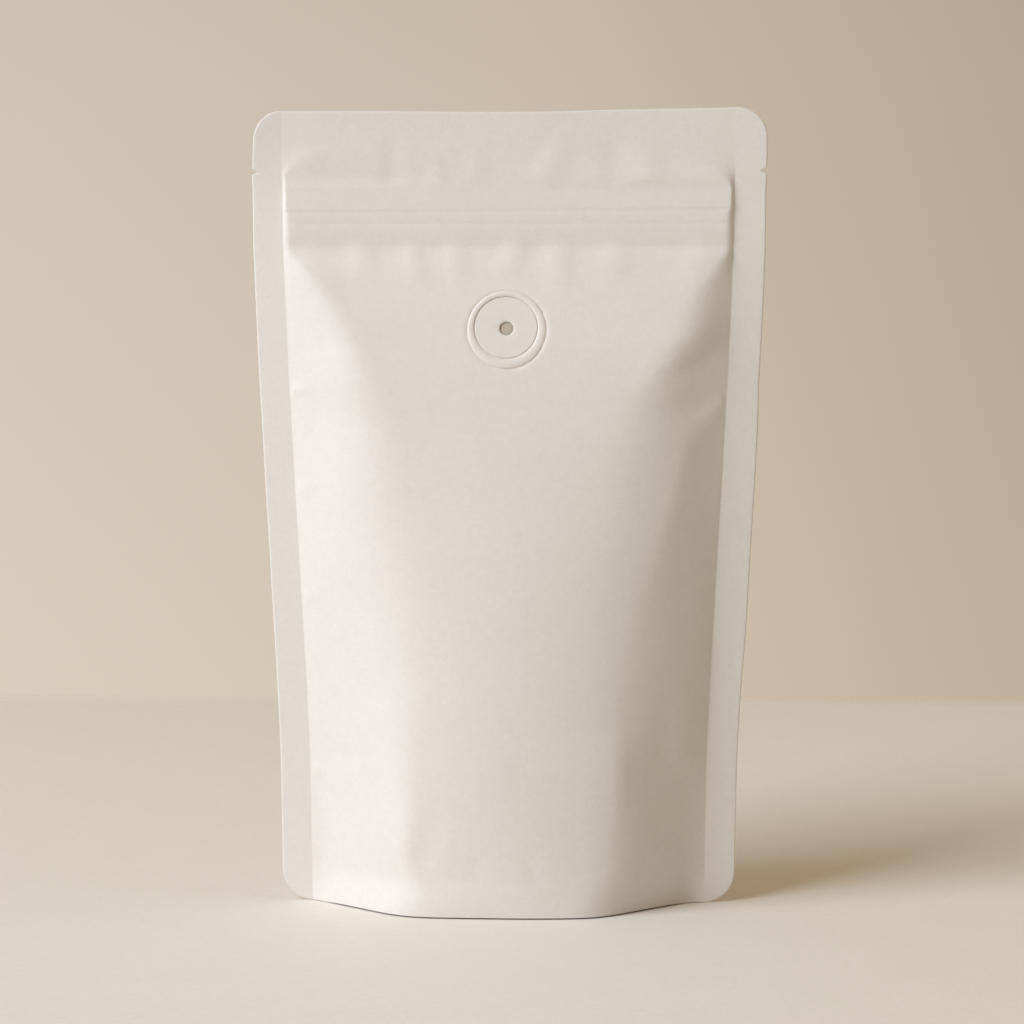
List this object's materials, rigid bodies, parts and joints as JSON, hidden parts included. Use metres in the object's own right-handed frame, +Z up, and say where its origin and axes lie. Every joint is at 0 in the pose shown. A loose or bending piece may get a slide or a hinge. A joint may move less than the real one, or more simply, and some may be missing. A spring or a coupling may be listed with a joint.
{
  "type": "coffee bag",
  "caption": "Plain white stand-up coffee pouch, filled and shut, with flat side seals, a press-to-close band, tear notches, a round degassing valve and a folded base gusset.",
  "frame": {"origin": "middle of the base, on the surface that the pouch stands on", "axes": "+Z up along the pouch, +X across its width to the right as seen from the front, -Y out of the front panel that carries the valve"},
  "size_m": [0.16, 0.0542, 0.248],
  "materials": {
    "film": "satin off-white laminated film",
    "valve": "off-white, like the film",
    "core": "matt warm grey"
  },
  "bodies": {
    "root": {"pouch": "film", "valve": "valve", "valve_core": "core"}
  },
  "joints": []
}
